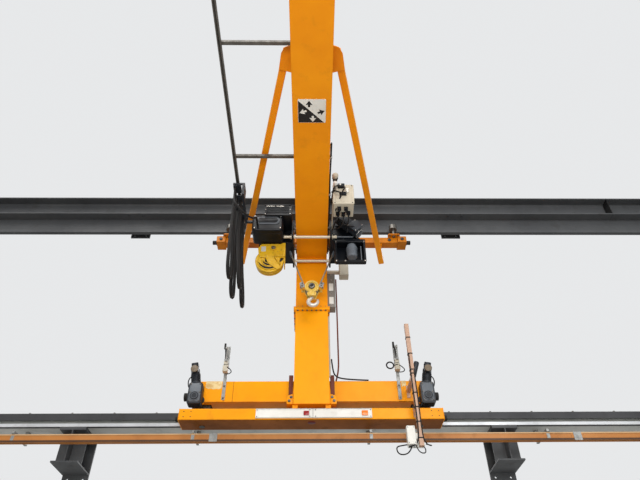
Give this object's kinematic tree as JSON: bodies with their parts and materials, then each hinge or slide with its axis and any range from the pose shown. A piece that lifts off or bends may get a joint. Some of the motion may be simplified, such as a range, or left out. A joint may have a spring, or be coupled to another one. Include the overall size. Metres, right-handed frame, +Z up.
{
  "type": "wall travelling crane",
  "caption": "Wall travelling jib crane on a lower wheel runway and an upper guide runway, with a hoist trolley, rope block, hook and festoon cables.",
  "frame": {"origin": "centre of the wall plate of the lower bracket left of the crane", "axes": "+X along the wall and the runways, +Y into the wall, +Z up; the jib points along -Y"},
  "size_m": [15.6, 8.32, 4.36],
  "materials": {
    "steel_grey": "weathered grey paint",
    "bright_steel": "polished by the rollers",
    "conductor": "brown-orange moulded housing",
    "clip_grey": "galvanised clips and arms",
    "crane_orange": "golden orange paint, slightly dusty",
    "jib_orange": "orange paint",
    "rubber_black": "black rubber",
    "roller_steel": "turned steel",
    "drive_dark": "dark grey enamel",
    "panel_white": "white panel",
    "sign_white": "black and white sign",
    "box_cream": "cream enclosure",
    "hoist_black": "satin black",
    "guard_yellow": "yellow enamel",
    "cable_black": "black flat cable",
    "rope_steel": "greased wire rope",
    "hook_steel": "forged steel",
    "pole_pink": "pale painted tube"
  },
  "bodies": {
    "runway": {"lower_brackets": "steel_grey", "upper_brackets": "steel_grey", "lower_girder": "steel_grey", "upper_girder": "steel_grey", "upper_guide_rail": "steel_grey", "wheel_rail": "bright_steel", "guide_bar": "bright_steel", "conductor_rail": "conductor", "conductor_hangers": "clip_grey", "runway_end_stops": "steel_grey"},
    "crane": {"wheel_beam": "crane_orange", "travel_wheels": "roller_steel", "guide_beam": "crane_orange", "guide_rollers": "roller_steel", "lower_post": "crane_orange", "upper_post": "crane_orange", "jib_girder": "jib_orange", "brace_left": "jib_orange", "brace_right": "jib_orange", "upper_carriage": "crane_orange", "travel_buffers": "rubber_black", "festoon_rail": "clip_grey", "travel_drives": "drive_dark", "signal_panel": "panel_white", "direction_sign": "sign_white", "limit_switches": "clip_grey", "collector_pole": "pole_pink", "collector": "panel_white", "collector_box": "panel_white", "junction_boxes": "box_cream", "warning_horn": "drive_dark", "post_gussets": "crane_orange"},
    "trolley": {"trolley_side_left": "hoist_black", "trolley_side_right": "hoist_black", "trolley_rods": "bright_steel", "trolley_runners": "roller_steel", "hoist_cover": "hoist_black", "drum_guard": "guard_yellow", "drum_housing": "hoist_black", "motor_frame": "hoist_black", "hoist_motor": "drive_dark", "travel_motor": "drive_dark", "control_cabinet": "box_cream", "tow_arm": "clip_grey", "hoist_lead": "cable_black", "ropes": "rope_steel"},
    "hook_block": {"block_cheeks": "guard_yellow", "block_sheaves": "roller_steel"},
    "hook": {"hook": "hook_steel"},
    "cable_trolley_1": {"cable_trolley_1": "clip_grey", "cable_loop_1": "cable_black"},
    "cable_trolley_2": {"cable_trolley_2": "clip_grey", "cable_loop_2": "cable_black"},
    "cable_trolley_3": {"cable_trolley_3": "clip_grey", "cable_loop_3": "cable_black"},
    "cable_trolley_4": {"cable_trolley_4": "clip_grey", "cable_loop_4": "cable_black"}
  },
  "joints": [
    {"name": "crane_travel", "type": "slide", "parent": "runway", "child": "crane", "axis": [1, 0, 0], "range_m": [-6.25, 5.7]},
    {"name": "trolley_travel", "type": "slide", "parent": "crane", "child": "trolley", "axis": [0, -1, 0], "range_m": [0, 6.2]},
    {"name": "hoist_lift", "type": "slide", "parent": "trolley", "child": "hook_block", "axis": [0, 0, 1], "range_m": [-5.3, 0.25], "deforming": ["ropes"]},
    {"name": "hook_swivel", "type": "hinge", "parent": "hook_block", "child": "hook", "pos_m": [2.75, -1, 1.664], "axis": [0, 0, 1], "continuous": true},
    {"name": "cable_slide_1", "type": "slide", "parent": "crane", "child": "cable_trolley_1", "axis": [0, -1, 0], "range_m": [0, 1.55]},
    {"name": "cable_slide_2", "type": "slide", "parent": "cable_trolley_1", "child": "cable_trolley_2", "axis": [0, -1, 0], "range_m": [0, 1.55]},
    {"name": "cable_slide_3", "type": "slide", "parent": "cable_trolley_2", "child": "cable_trolley_3", "axis": [0, -1, 0], "range_m": [0, 1.55]},
    {"name": "cable_slide_4", "type": "slide", "parent": "cable_trolley_3", "child": "cable_trolley_4", "axis": [0, -1, 0], "range_m": [0, 1.55]}
  ],
  "couplings": [
    {"joint": "cable_slide_1", "follows": "trolley_travel", "ratio": 0.25},
    {"joint": "cable_slide_2", "follows": "trolley_travel", "ratio": 0.25},
    {"joint": "cable_slide_3", "follows": "trolley_travel", "ratio": 0.25},
    {"joint": "cable_slide_4", "follows": "trolley_travel", "ratio": 0.25}
  ]
}
